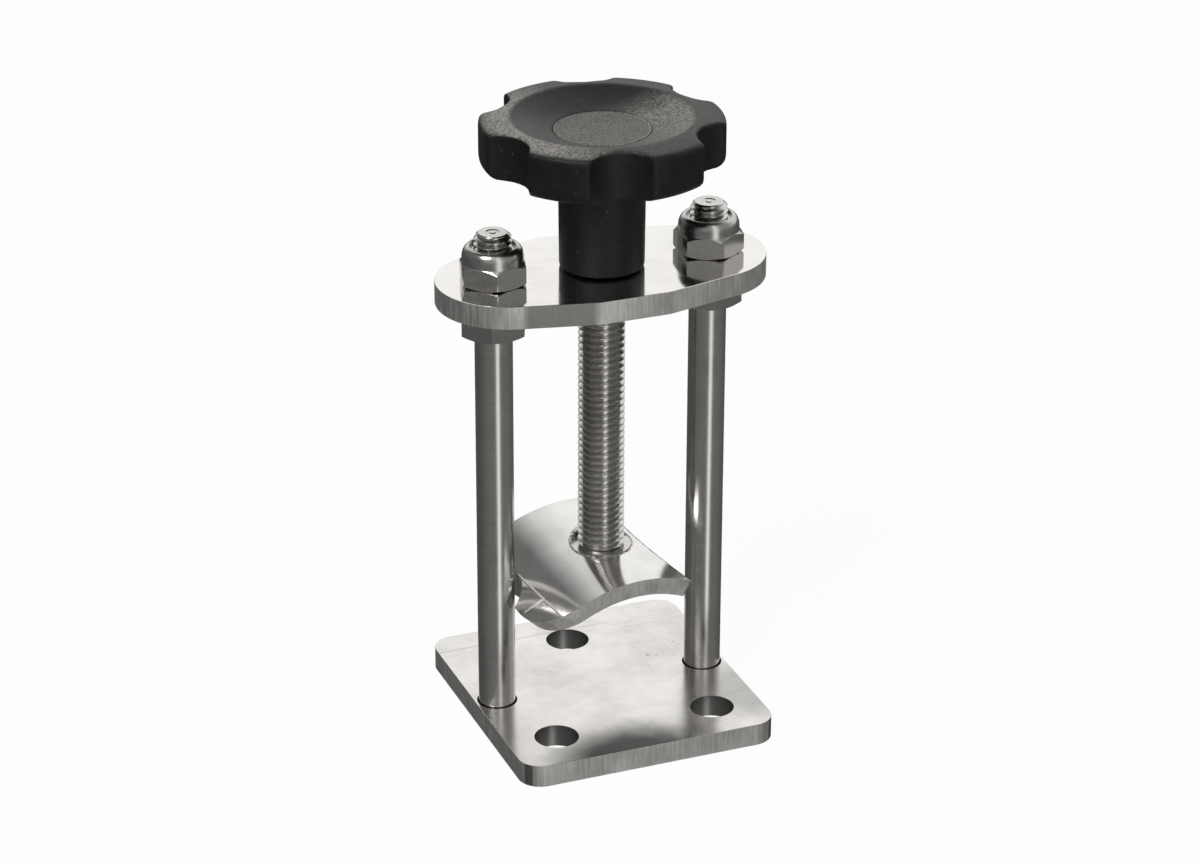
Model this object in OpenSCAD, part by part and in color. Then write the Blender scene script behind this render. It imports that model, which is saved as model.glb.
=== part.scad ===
// Tilting chain fairlead: a curved saddle is screwed down on a chain that runs between two posts.
// Millimetres, +Z up. The origin is the middle of the base plate's lower face,
// X runs through both posts and Y is the way that the chain runs.

/* [Base plate] */
// Width of the base plate, along the row of posts
base_w = 58; // [57.5:0.5:72]
// Depth of the base plate, along the chain
base_d = 62; // [54:1:90]
// Thickness of the base plate
base_t = 5; // [4:0.5:8]
// Radius of the base plate's corners
base_corner_r = 5; // [2:0.5:8]
// Diameter of the mounting holes
mount_hole_d = 9.5; // [6:0.5:11]
// Distance between the two front mounting holes
mount_hole_pitch = 36; // [26:1:42]
// Distance of the front mounting holes from the row of posts
mount_hole_front = 20; // [16:0.5:21]
// Distance of the rear mounting hole from the row of posts
mount_hole_rear = 20; // [14:0.5:21]

/* [Posts] */
// Diameter of the posts
post_d = 8; // [6:0.5:8.5]
// Distance between the centres of the posts
post_pitch = 48.3; // [47.5:0.1:48.8]
// Height of the posts' upper ends above the ground
post_top = 114.3; // [113.6:0.1:118]
// Chamfer at the upper end of a post
post_chamfer = 1; // [0.4:0.1:1.5]
// Radial clearance of the posts in the two plates
post_clearance = 0.35; // [0.2:0.05:0.6]
// Height of the weld that holds a post's foot, up from the ground
weld_h = 2.5; // [1:0.25:3.5]

/* [Top plate] */
// Height of the top plate's lower face above the ground
top_plate_z = 98.4; // [90:0.1:99]
// Thickness of the top plate
top_plate_t = 5; // [4:0.5:5.5]
// Half depth of the top plate at its middle
top_plate_half_d = 18.8; // [17:0.2:24]
// Half length of the straight edge at the middle of the top plate
top_plate_flat = 7.6; // [3:0.2:10]
// Radius of the top plate's round ends
top_plate_end_r = 15.3; // [13:0.1:16]
// Distance of the end arcs' centres from the middle
top_plate_end_x = 20.8; // [19:0.1:24]

/* [Nuts] */
// Width across the flats of all four nuts
nut_af = 13; // [11:0.5:15]
// Height of the plain nuts under the top plate
plain_nut_h = 6.5; // [4:0.1:7]
// Height of the lock nuts' hexagon
lock_hex_h = 5.2; // [4:0.1:5.6]
// Whole height of the lock nuts
lock_nut_h = 8; // [7.5:0.1:9]
// Outer diameter of the lock nuts' round collar
lock_collar_d = 12.5; // [11:0.1:12.8]
// Diameter of the opening in the collar's rolled lip
lock_lip_d = 9.4; // [9.2:0.1:9.8]
// Wall of the collar round the nylon ring
lock_collar_wall = 0.9; // [0.6:0.1:1]

/* [Screw] */
// Diameter of the screw
screw_d = 10; // [8:0.5:10.5]
// Diameter of the turned end that carries the saddle
journal_d = 8; // [6:0.5:8]
// Height of the saddle's pivot above the ground, at the lowest setting
pivot_z = 37.4; // [35:0.1:42]
// Running clearance, all round, of turning and tilting surfaces
running_gap = 0.05; // [0.03:0.01:0.08]

/* [Knob] */
// Diameter over the knob's lobes
knob_d = 51; // [46:0.5:58]
// Number of lobes
knob_lobes = 6; // [5:1:8]
// Height of the lobed head
knob_head_h = 10.6; // [9.6:0.1:14]
// Radius of the scallops between the lobes
scallop_r = 7.9; // [6:0.1:9]
// Depth of the scallops
scallop_depth = 4.4; // [3:0.1:5]
// Rounding of the corners between a lobe and its scallops
lobe_corner_r = 1.4; // [0.6:0.1:2]
// Turn of the knob about the screw, in degrees
knob_turn = 17.5; // [0:0.5:60]
// Diameter of the hub under the head
hub_d = 18.3; // [16.5:0.1:20]
// Length of the hub under the head
hub_h = 22.3; // [16:0.1:26]
// Gap between the hub and the top plate at the lowest setting
hub_gap = 0.3; // [0.2:0.1:1]
// Diameter of the dish's rim in the head
dish_d = 38.8; // [34:0.2:39]
// Depth of the dish down to the cap
dish_depth = 3; // [2:0.1:3.5]
// Diameter of the cap in the dish
cap_d = 20.4; // [16:0.2:22]
// Thickness of the cap
cap_t = 2; // [1:0.1:2.4]
// Diameter of the moulded-in threaded insert
insert_d = 13.5; // [12.5:0.1:14]
// Length of the insert
insert_l = 14; // [10:0.5:15]

/* [Saddle] */
// Outer radius of the saddle's curve
saddle_r = 30.15; // [27:0.05:36]
// Thickness of the saddle
saddle_t = 4; // [3.5:0.1:4.4]
// Length of the saddle along the chain
saddle_l = 34; // [30:0.2:44]
// Distance along the curve from the crest to the left edge
saddle_left = 24.6; // [20:0.1:25]
// Distance along the curve from the crest to the right edge, at the front
saddle_right_front = 15.8; // [12:0.1:18]
// Distance along the curve from the crest to the right edge, at the back
saddle_right_back = 10; // [9:0.1:15]
// Radius of the hollow of the right edge
saddle_hollow_r = 60; // [55:5:200]
// Radius of the two left corners
saddle_corner_r = 11; // [4:0.5:12]
// Radius of the two right corners
saddle_tip_r = 1.5; // [1:0.25:4]
// Width of the chamfer on top of the right edge
saddle_edge = 1.5; // [0.5:0.25:2.5]
// Distance from the crest of the curve to the pivot
crest_offset = 0.3; // [0:0.1:2]
// Tilt of the saddle as it hangs, front edge down, in degrees
saddle_tilt = 8; // [0:0.5:8]
// Turn of the saddle as it hangs, seen from above, in degrees
saddle_turn = 6; // [0:0.5:6]
// Clearance between the notch in the left edge and the post
notch_clearance = 1.6; // [1.2:0.1:2.4]

/* [Hidden] */
$fn = 96;
steel = [0.66, 0.65, 0.63];
bright = [0.76, 0.76, 0.75];
black = [0.07, 0.07, 0.065];
overrun = 1;
seat_gap = 0.02;

post_r = post_d / 2;
post_x = post_pitch / 2;
post_bore_r = post_r + post_clearance;
top_face_z = top_plate_z + top_plate_t;
screw_r = screw_d / 2;
journal_r = journal_d / 2;
nut_corner_r = nut_af / sqrt(3);
nut_chamfer = 0.55;
lip_r = lock_lip_d / 2;
ring_seat_r = lock_collar_d / 2 - lock_collar_wall;
ring_h = lock_nut_h - lock_hex_h - 0.8;

// The bush is the middle of a ball in a hollow of the same shape, so that the saddle can tilt.
// Its upper face lies in the hole, below the saddle's crest, and its lower one stands out a little.
bush_recess = 0.8;
bush_proud = 0.5;
bush_top = saddle_t / 2 - bush_recess;
bush_low = -saddle_t / 2 - bush_proud;
ball_r = 6.6;
washer_t = 1;
washer_d = 11.8;
ring_groove_depth = 0.5;
ring_t = 0.8;
ring_d = 11.2;
journal_tip = 1.2;
journal_chamfer = 0.6;

hub_z = top_face_z + hub_gap;
head_z = hub_z + hub_h;
hub_draft = 0.2;
hub_chamfer = 0.7;
head_edge_low = 2.4;
head_edge_high = 1.1;
head_crown = 0.6;
rim_z = head_z + knob_head_h;
cap_z = rim_z - dish_depth - cap_t;
screw_headroom = 3;
screw_top_z = cap_z - screw_headroom;
pocket_depth = 5;
pocket_wall = 3.4;
rib_w = 1.8;
pocket_inset = 1.6;
scallop_x = knob_d / 2 - scallop_depth + scallop_r;

taper_inset = 0.03;
corner_inset = 0.08;
lobe_inset = 0.03;

// Turning angle, seen from above, of each nut
plain_nut_turn = [8.5, 20];
lock_nut_turn = [16.5, 30];

function ball_section(h) = sqrt(ball_r * ball_r - h * h);
function side_x(side) = side * post_x;
function side_index(side) = side < 0 ? 0 : 1;

// Point where a line from [px, py] touches a circle of radius r round [cx, 0], on the upper side
function tangent_point(px, py, cx, r) =
    let (d = norm([px - cx, py]), a = atan2(py, px - cx), b = acos(r / d))
    [cx + r * cos(a - b), r * sin(a - b)];

module rounded_rectangle(w, d, r) {
    square([w - 2 * r, d], center = true);
    square([w, d - 2 * r], center = true);
    for (sx = [-1, 1], sy = [-1, 1])
        translate([sx * (w / 2 - r), sy * (d / 2 - r)])
            circle(r);
}

module base_plate() {
    color(steel)
    difference() {
        linear_extrude(base_t)
            rounded_rectangle(base_w, base_d, base_corner_r);
        for (side = [-1, 1]) {
            translate([side_x(side), 0, -overrun])
                cylinder(r = post_bore_r, h = base_t + 2 * overrun);
            translate([side * mount_hole_pitch / 2, -mount_hole_front, -overrun])
                cylinder(d = mount_hole_d, h = base_t + 2 * overrun);
        }
        translate([0, mount_hole_rear, -overrun])
            cylinder(d = mount_hole_d, h = base_t + 2 * overrun);
    }
}

// Weld metal in the lower part of the gap between a post and the base plate
module post_weld(side) {
    color(steel)
    translate([side_x(side), 0, 0])
        difference() {
            cylinder(r = post_bore_r, h = weld_h);
            translate([0, 0, -overrun])
                cylinder(r = post_r, h = weld_h + 2 * overrun);
        }
}

module post(side) {
    color(bright)
    translate([side_x(side), 0, 0])
        rotate_extrude()
            polygon([[0, 0], [post_r, 0], [post_r, post_top - post_chamfer],
                     [post_r - post_chamfer, post_top], [0, post_top]]);
}

// Lozenge with straight tapers that run into the round ends
module top_plate_outline() {
    p = tangent_point(top_plate_flat, top_plate_half_d, top_plate_end_x, top_plate_end_r - taper_inset);
    slope = (p[1] - top_plate_half_d) / (p[0] - top_plate_flat);
    far_x = top_plate_end_x + top_plate_end_r + overrun;
    far_y = top_plate_half_d + slope * (far_x - top_plate_flat);
    difference() {
        polygon([[top_plate_flat, top_plate_half_d], [far_x, far_y], [far_x, -far_y],
                 [top_plate_flat, -top_plate_half_d], [-top_plate_flat, -top_plate_half_d],
                 [-far_x, -far_y], [-far_x, far_y], [-top_plate_flat, top_plate_half_d]]);
        for (turn = [0, 180])
            rotate(turn)
                difference() {
                    translate([p[0], -top_plate_half_d])
                        square([far_x, 2 * top_plate_half_d]);
                    translate([top_plate_end_x, 0])
                        circle(top_plate_end_r);
                }
    }
}

module top_plate() {
    color(bright)
    translate([0, 0, top_plate_z])
        difference() {
            linear_extrude(top_plate_t)
                top_plate_outline();
            for (side = [-1, 1])
                translate([side_x(side), 0, -overrun])
                    cylinder(r = post_bore_r, h = top_plate_t + 2 * overrun);
            translate([0, 0, -overrun])
                cylinder(r = screw_r + running_gap, h = top_plate_t + 2 * overrun);
        }
}

// Hexagon with its corners turned off at both ends, as a solid without its bore
module nut_blank(h) {
    face_r = nut_af / 2 * 0.97;
    intersection() {
        cylinder(r = nut_corner_r, h = h, $fn = 6);
        rotate_extrude()
            polygon([[0, 0], [face_r, 0], [nut_corner_r, nut_chamfer], [nut_corner_r, h - nut_chamfer],
                     [face_r, h], [0, h]]);
    }
}

module plain_nut(side) {
    color(steel)
    translate([side_x(side), 0, top_plate_z - plain_nut_h])
        difference() {
            rotate(plain_nut_turn[side_index(side)])
                nut_blank(plain_nut_h);
            translate([0, 0, -overrun])
                cylinder(r = post_r + seat_gap, h = plain_nut_h + 2 * overrun);
        }
}

// Lock nut: hexagon, round collar and a lip rolled in over the nylon ring
module lock_nut(side) {
    collar_r = lock_collar_d / 2;
    lip_h = lock_nut_h - lock_hex_h - ring_h;
    color(bright)
    translate([side_x(side), 0, top_face_z])
        difference() {
            union() {
                rotate(lock_nut_turn[side_index(side)])
                    nut_blank(lock_hex_h);
                rotate_extrude()
                    polygon([[0, 1], [collar_r, 1], [collar_r, lock_nut_h - 1.4],
                             [collar_r - 0.35, lock_nut_h - 0.6], [lip_r + 0.5, lock_nut_h], [0, lock_nut_h]]);
            }
            translate([0, 0, -overrun])
                cylinder(r = post_r + seat_gap, h = lock_nut_h + 2 * overrun);
            translate([0, 0, lock_hex_h])
                cylinder(r = ring_seat_r, h = ring_h);
            translate([0, 0, lock_nut_h - lip_h - overrun])
                cylinder(r = lip_r, h = lip_h + 2 * overrun);
        }
}

module nylon_ring(side) {
    color([0.30, 0.32, 0.36])
    translate([side_x(side), 0, top_face_z + lock_hex_h + seat_gap])
        difference() {
            cylinder(r = ring_seat_r - seat_gap, h = ring_h - 2 * seat_gap);
            translate([0, 0, -overrun])
                cylinder(r = post_r + seat_gap, h = ring_h + 2 * overrun);
        }
}

// Screw with a shoulder on the swivel bush and a grooved journal under it
module screw() {
    shoulder_z = pivot_z + bush_top + running_gap;
    washer_z = pivot_z + bush_low - running_gap - washer_t;
    groove_top = washer_z - running_gap;
    groove_low = groove_top - ring_t - 2 * running_gap;
    tip_z = groove_low - journal_tip;
    groove_r = journal_r - ring_groove_depth;
    color(bright)
    rotate_extrude()
        polygon([[0, tip_z], [journal_r - journal_chamfer, tip_z], [journal_r, tip_z + journal_chamfer],
                 [journal_r, groove_low], [groove_r, groove_low], [groove_r, groove_top],
                 [journal_r, groove_top], [journal_r, shoulder_z], [screw_r - 0.4, shoulder_z],
                 [screw_r, shoulder_z + 0.4], [screw_r, screw_top_z - 0.8], [screw_r - 0.8, screw_top_z],
                 [0, screw_top_z]]);
}

module swivel_bush() {
    color([0.55, 0.54, 0.52])
    translate([0, 0, pivot_z])
        difference() {
            intersection() {
                sphere(ball_r);
                translate([0, 0, bush_low])
                    cylinder(r = ball_r, h = bush_top - bush_low);
            }
            translate([0, 0, -ball_r])
                cylinder(r = journal_r + running_gap, h = 2 * ball_r);
        }
}

module thrust_washer() {
    color(steel)
    translate([0, 0, pivot_z + bush_low - washer_t])
        difference() {
            cylinder(d = washer_d, h = washer_t);
            translate([0, 0, -overrun])
                cylinder(r = journal_r + running_gap, h = washer_t + 2 * overrun);
        }
}

// Open spring ring in the journal's groove
module retaining_ring() {
    ring_z = pivot_z + bush_low - washer_t - 2 * running_gap - ring_t - seat_gap;
    inner_r = journal_r - ring_groove_depth + seat_gap;
    color(steel)
    translate([0, 0, ring_z])
        difference() {
            cylinder(d = ring_d, h = ring_t);
            translate([0, 0, -overrun])
                cylinder(r = inner_r, h = ring_t + 2 * overrun);
            translate([0, -inner_r * 0.7, -overrun])
                cube([ring_d, inner_r * 1.4, ring_t + 2 * overrun]);
        }
}

// Section of the head with its rounded lower edge and its crowned top, turned round the screw
module knob_head() {
    r = knob_d / 2;
    steps = 6;
    low = [for (i = [0:steps]) [r - head_edge_low * (1 - sin(i * 90 / steps)),
                                head_edge_low * (1 - cos(i * 90 / steps))]];
    high = [for (i = [0:steps]) [r - head_edge_high * (1 - cos(i * 90 / steps)),
                                 knob_head_h - head_crown - head_edge_high * (1 - sin(i * 90 / steps))]];
    rotate_extrude()
        polygon(concat([[0, 0]], low, high, [[dish_d / 2, knob_head_h], [0, knob_head_h]]));
}

// Ball that cuts the dish: it passes through the rim and through the edge of the cap
module dish() {
    a = dish_d / 2;
    b = cap_d / 2 + seat_gap;
    u = (a * a - b * b - dish_depth * dish_depth) / (2 * dish_depth);
    translate([0, 0, knob_head_h + u])
        sphere(sqrt(u * u + a * a), $fn = 180);
}

module scallops() {
    for (i = [0:knob_lobes - 1])
        rotate(knob_turn + i * 360 / knob_lobes)
            translate([0, 0, -overrun]) {
                translate([scallop_x, 0, 0])
                    cylinder(r = scallop_r, h = knob_head_h + 2 * overrun);
                for (side = [0, 1])
                    mirror([0, side, 0])
                        linear_extrude(knob_head_h + 2 * overrun)
                            lobe_corner();
            }
}

// What is taken off a lobe's corner: the arc left over touches the rim and the scallop
module lobe_corner() {
    a = knob_d / 2 - lobe_corner_r;
    b = scallop_r + lobe_corner_r;
    turn = acos((a * a + scallop_x * scallop_x - b * b) / (2 * a * scallop_x));
    centre = [a * cos(turn), a * sin(turn)];
    on_rim = knob_d / 2 * [cos(turn), sin(turn)];
    on_scallop = centre + lobe_corner_r / b * ([scallop_x, 0] - centre);
    difference() {
        polygon([centre, on_scallop, on_scallop + (on_rim - centre) + (on_scallop - centre),
                 on_rim + (on_rim - centre), on_rim]);
        translate(centre)
            circle(lobe_corner_r + lobe_inset);
    }
}

// Ring-shaped pocket under the head, with a rib to each lobe
module pockets() {
    inner = hub_d / 2 + pocket_inset;
    outer = knob_d / 2 - scallop_depth - pocket_wall;
    difference() {
        translate([0, 0, -overrun])
            cylinder(r = outer, h = pocket_depth + overrun);
        translate([0, 0, -2 * overrun])
            cylinder(r = inner, h = pocket_depth + 4 * overrun);
        for (i = [0:knob_lobes - 1])
            rotate(knob_turn + (i + 0.5) * 360 / knob_lobes)
                translate([0, -rib_w / 2, -2 * overrun])
                    cube([knob_d, rib_w, pocket_depth + 4 * overrun]);
    }
}

module knob_body() {
    color(black)
    difference() {
        union() {
            translate([0, 0, head_z])
                difference() {
                    knob_head();
                    dish();
                    scallops();
                    pockets();
                }
            translate([0, 0, hub_z])
                rotate_extrude()
                    polygon([[0, 0], [hub_d / 2 - hub_draft - hub_chamfer, 0],
                             [hub_d / 2 - hub_draft, hub_chamfer], [hub_d / 2, hub_h],
                             [hub_d / 2, hub_h + pocket_depth], [0, hub_h + pocket_depth]]);
        }
        translate([0, 0, hub_z - overrun])
            cylinder(d = insert_d + 2 * seat_gap, h = insert_l + seat_gap + overrun);
        translate([0, 0, hub_z])
            cylinder(r = screw_r + seat_gap, h = screw_top_z - hub_z + 0.5);
        translate([0, 0, cap_z - seat_gap])
            cylinder(d = cap_d + 2 * seat_gap, h = cap_t + dish_depth);
    }
}

module knob_insert() {
    color([0.72, 0.60, 0.35])
    translate([0, 0, hub_z])
        difference() {
            cylinder(d = insert_d, h = insert_l);
            translate([0, 0, -overrun])
                cylinder(r = screw_r + seat_gap, h = insert_l + 2 * overrun);
        }
}

module knob_cap() {
    color([0.10, 0.10, 0.095])
    translate([0, 0, cap_z])
        cylinder(d = cap_d, h = cap_t);
}

// Angle on the saddle's curve at an arc length from the crest
function saddle_angle(arc) = arc / saddle_r * 180 / PI;

// Everything in its children is placed over the curve at an arc length from the crest,
// with X along the curve, Y along the saddle and Z out of it.
module on_curve(arc) {
    translate([0, 0, -saddle_r])
        rotate([0, saddle_angle(arc), 0])
            children();
}

// Takes off what lies past the left edge
module left_edge_cut() {
    on_curve(-saddle_left)
        translate([-2 * saddle_r, -saddle_l, -saddle_r])
            cube([2 * saddle_r, 2 * saddle_l, 4 * saddle_r]);
}

// Takes off what lies past the right edge, which is hollow and runs aslant
module right_edge_cut() {
    middle = (saddle_right_front + saddle_right_back) / 2;
    lean = (saddle_right_front - saddle_right_back) / 2;
    half = norm([lean, saddle_l / 2]);
    reach = sqrt(saddle_hollow_r * saddle_hollow_r - half * half);
    on_curve(middle)
        rotate(atan2(lean, saddle_l / 2))
            translate([reach, 0, 0]) {
                cylinder(r = saddle_hollow_r, h = 2 * saddle_r, $fn = 360);
                translate([0, 0, saddle_r - saddle_edge - overrun])
                    cylinder(r1 = saddle_hollow_r - overrun, r2 = saddle_hollow_r + saddle_edge + overrun,
                             h = saddle_edge + 2 * overrun, $fn = 360);
            }
}

// Takes a corner off, square to the blank's edge: side is -1 for left, end is -1 for front
module corner_cut(side, end, arc, r) {
    on_curve(arc)
        translate([-side * r, end * (saddle_l / 2 - r), 0])
            difference() {
                translate([side < 0 ? -2 * r : 0, end < 0 ? -2 * r : 0, 0])
                    cube([2 * r, 2 * r, 2 * saddle_r]);
                cylinder(r = r + corner_inset, h = 2 * saddle_r);
            }
}

// Curved blank with its crest over the middle and its outer face at z = 0 there
module saddle_blank() {
    difference() {
        translate([0, 0, -saddle_r])
            rotate([90, 0, 0])
                difference() {
                    cylinder(r = saddle_r, h = saddle_l, center = true, $fn = 180);
                    cylinder(r = saddle_r - saddle_t, h = saddle_l + 2 * overrun, center = true, $fn = 180);
                }
        left_edge_cut();
        right_edge_cut();
        translate([-2 * saddle_r, -saddle_l, -3 * saddle_r])
            cube([4 * saddle_r, 2 * saddle_l, 2 * saddle_r]);
        for (end = [-1, 1]) {
            corner_cut(-1, end, -saddle_left, saddle_corner_r);
            corner_cut(1, end, end < 0 ? saddle_right_front : saddle_right_back, saddle_tip_r);
        }
    }
}

module saddle() {
    color(bright)
    difference() {
        translate([0, 0, pivot_z])
            rotate([saddle_tilt, 0, saddle_turn])
                translate([-crest_offset, 0, saddle_t / 2])
                    saddle_blank();
        translate([0, 0, pivot_z])
            sphere(ball_r + running_gap);
        translate([-post_x, 0, 0])
            cylinder(r = post_r + notch_clearance, h = pivot_z + saddle_r);
    }
}

base_plate();
post(-1);  // post_left
post(1);  // post_right
post_weld(-1);  // post_weld_left
post_weld(1);  // post_weld_right
plain_nut(-1);  // plain_nut_left
plain_nut(1);  // plain_nut_right
top_plate();
lock_nut(-1);  // lock_nut_left
lock_nut(1);  // lock_nut_right
nylon_ring(-1);  // nylon_ring_left
nylon_ring(1);  // nylon_ring_right
screw();
knob_body();
knob_insert();
knob_cap();
saddle();
swivel_bush();
thrust_washer();
retaining_ring();
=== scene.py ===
# %% [markdown]
# # A tilting chain fairlead
# A chain runs over a drilled base plate, between two posts. A curved steel saddle is pressed on it by a
# threaded spindle, which is turned with a black star knob. The solids come from the CAD part. This file
# dresses them: real threads, turned corners, small worn edges and the finish of each metal.

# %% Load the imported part
import math

import bmesh
import bpy
from mathutils import Matrix, Vector


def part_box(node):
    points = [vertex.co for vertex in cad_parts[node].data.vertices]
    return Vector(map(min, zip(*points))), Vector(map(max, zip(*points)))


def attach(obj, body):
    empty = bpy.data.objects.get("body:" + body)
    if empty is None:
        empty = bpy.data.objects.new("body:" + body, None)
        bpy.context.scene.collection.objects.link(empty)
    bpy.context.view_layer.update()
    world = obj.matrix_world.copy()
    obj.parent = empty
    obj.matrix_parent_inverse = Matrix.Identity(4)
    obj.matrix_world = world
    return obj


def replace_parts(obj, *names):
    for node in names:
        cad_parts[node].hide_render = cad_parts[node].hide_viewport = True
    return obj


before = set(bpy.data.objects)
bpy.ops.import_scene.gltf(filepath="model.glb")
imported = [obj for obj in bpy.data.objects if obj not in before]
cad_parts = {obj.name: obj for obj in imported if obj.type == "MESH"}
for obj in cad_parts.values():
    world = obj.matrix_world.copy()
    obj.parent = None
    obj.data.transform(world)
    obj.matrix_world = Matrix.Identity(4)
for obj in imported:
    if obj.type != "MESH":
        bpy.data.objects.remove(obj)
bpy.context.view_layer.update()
MM = 0.001

# %% [markdown]
# ## Small workshop helpers
# An operator acts on whatever is selected, so each helper first clears the selection. In edit mode the
# parts to work on are picked in code, by where they lie or which way they face. A modifier is applied as
# soon as it is set, so that the next step works on a plain mesh.

# %% Selecting and editing
# How near, in metres, points count as one: on a finished piece, on a drawn line and beside a flat cut
DOUBLES, JOINS, ON_PLANE = 4e-6, 1e-6, 1e-7


def only(piece):
    """Makes piece the one selected and active object."""
    if bpy.context.object and bpy.context.object.mode != "OBJECT":
        bpy.ops.object.mode_set(mode="OBJECT")
    bpy.ops.object.select_all(action="DESELECT")
    piece.select_set(True)
    bpy.context.view_layer.objects.active = piece
    return piece


def edit(piece, mode="FACE"):
    """Opens the piece in edit mode with nothing selected."""
    only(piece)
    bpy.ops.object.mode_set(mode="EDIT")
    bpy.ops.mesh.select_mode(type=mode)
    bpy.ops.mesh.select_all(action="DESELECT")


def done():
    bpy.ops.object.mode_set(mode="OBJECT")


def pick(piece, kind, test):
    """Selects the faces, edges or verts of the piece in edit mode for which test is true."""
    mesh = bmesh.from_edit_mesh(piece.data)
    mesh.normal_update()
    count = 0
    for part in getattr(mesh, kind):
        part.select_set(False)
    for part in getattr(mesh, kind):
        if test(part):
            part.select_set(True)
            count += 1
    mesh.select_flush_mode()
    bmesh.update_edit_mesh(piece.data)
    return count


def modify(piece, kind, **settings):
    """Adds a modifier with these settings and applies it at once."""
    only(piece)
    modifier = piece.modifiers.new(kind.lower(), kind)
    for key, value in settings.items():
        setattr(modifier, key, value)
    bpy.ops.object.modifier_apply(modifier=modifier.name)
    return piece


def settle(piece, angle=30):
    """Merges doubles, turns the normals outwards and smooths all but the sharp edges.

    The last step keeps large flat faces flat, so that what they mirror isn't bent near their bevels."""
    edit(piece, "VERT")
    bpy.ops.mesh.select_all(action="SELECT")
    bpy.ops.mesh.remove_doubles(threshold=DOUBLES)
    bpy.ops.mesh.normals_make_consistent(inside=False)
    done()
    bpy.ops.object.shade_smooth_by_angle(angle=math.radians(angle))
    return modify(piece, "WEIGHTED_NORMAL", weight=100, keep_sharp=True)

# %% [markdown]
# ## Cutting and joining
# Holes and chamfers are cut with a second body, as a drill or a turning tool would cut them. The cutter is
# thrown away afterwards. A last bevel breaks the sharp edges of the plates, the nuts and the cap by a tenth
# or two of a millimetre, because such an edge is what catches the light on a real part.

# %% Cutters and bevels
def cut(piece, tool, how="DIFFERENCE"):
    """Cuts the tool out of the piece, joins it on, or keeps what both share. The tool is used up."""
    modify(piece, "BOOLEAN", object=tool, operation=how, solver="EXACT")
    bpy.data.objects.remove(tool)
    return piece


def break_edges(piece, width, angle=30, segments=2):
    """Bevels every edge that is sharper than the angle, in degrees."""
    limit = math.radians(angle)
    return modify(piece, "BEVEL", width=width, segments=segments, limit_method="ANGLE", angle_limit=limit)


def measured(piece):
    """Says how large the piece is and whether it is closed: a closed body has no open edge."""
    mesh = bmesh.new()
    mesh.from_mesh(piece.data)
    volume = mesh.calc_volume() / MM ** 3
    holes = sum(1 for edge in mesh.edges if not edge.is_manifold)
    mesh.free()
    return f"{len(piece.data.polygons)} faces, {volume:.1f} mm3, {holes} open edges"


def place(piece, name, at=(0, 0, 0)):
    """Names the piece and moves it to its place, which goes into its mesh."""
    only(piece)
    piece.name = name
    piece.data.name = name
    piece.location = Vector(piece.location) + Vector(at)
    bpy.ops.object.transform_apply(location=True, rotation=True, scale=True)
    return piece


def copy_of(piece, name, at=(0, 0, 0), turn=0.0):
    """A copy with a mesh of its own, turned about the vertical and moved."""
    twin = piece.copy()
    twin.data = piece.data.copy()
    bpy.context.collection.objects.link(twin)
    twin.rotation_euler = (0, 0, turn)
    twin.location = at
    return place(twin, name)

# %% Blocks and round stock
def block(name, size, middle, turn=0.0):
    """A block of that size round its middle, turned about the vertical."""
    bpy.ops.mesh.primitive_cube_add(size=1, location=middle)
    piece = bpy.context.object
    piece.scale = size
    piece.rotation_euler = (0, 0, turn)
    return place(piece, name)


def rod(radius, low, high, vertices=96):
    """A round rod, turned by one degree so that its edges never fall on those of a lathe piece."""
    bpy.ops.mesh.primitive_cylinder_add(
        vertices=vertices, radius=radius, depth=high - low, location=(0, 0, (high + low) / 2)
    )
    bpy.context.object.rotation_euler = (0, 0, math.radians(1))
    return place(bpy.context.object, "rod")


def drawn_line(points, raised=0.0):
    """A line through (radius, height) points, lifted by raised and left open in edit mode. It starts as a
    tiny plane, merged to one point, and is then extruded from point to point."""
    bpy.ops.mesh.primitive_plane_add(size=1e-4, location=(0, 0, 0))
    piece = bpy.context.object
    edit(piece, "VERT")
    bpy.ops.mesh.select_all(action="SELECT")
    bpy.ops.mesh.merge(type="CENTER")
    bpy.ops.transform.translate(value=(points[0][0], 0, raised + points[0][1]))
    for before, after in zip(points, points[1:]):
        bpy.ops.mesh.extrude_region_move(
            TRANSFORM_OT_translate={"value": (after[0] - before[0], 0, after[1] - before[1])}
        )
    return piece


def lathe(profile, steps=96, turn=0.0):
    """Turns a line of (radius, height) points about the vertical axis, as on a lathe. A tool is given a small
    turn as well, in degrees: a cut goes wrong where the edges of two bodies fall on one another."""
    piece = drawn_line(profile)
    bpy.ops.mesh.select_all(action="SELECT")
    bpy.ops.mesh.spin(steps=steps, angle=2 * math.pi, center=(0, 0, 0), axis=(0, 0, 1), use_auto_merge=True)
    bpy.ops.mesh.select_all(action="SELECT")
    bpy.ops.mesh.remove_doubles(threshold=JOINS)
    bpy.ops.mesh.normals_make_consistent(inside=False)
    done()
    piece.rotation_euler = (0, 0, math.radians(turn))
    return place(piece, "turned")

# %% [markdown]
# ## The camera
# The photograph is a long shot from the front left and a little above. The focal length, the place and the
# tilt were worked out from the base plate's edges and holes and the sides of the posts and the spindle, so
# the render has nearly the same outlines.

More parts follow.
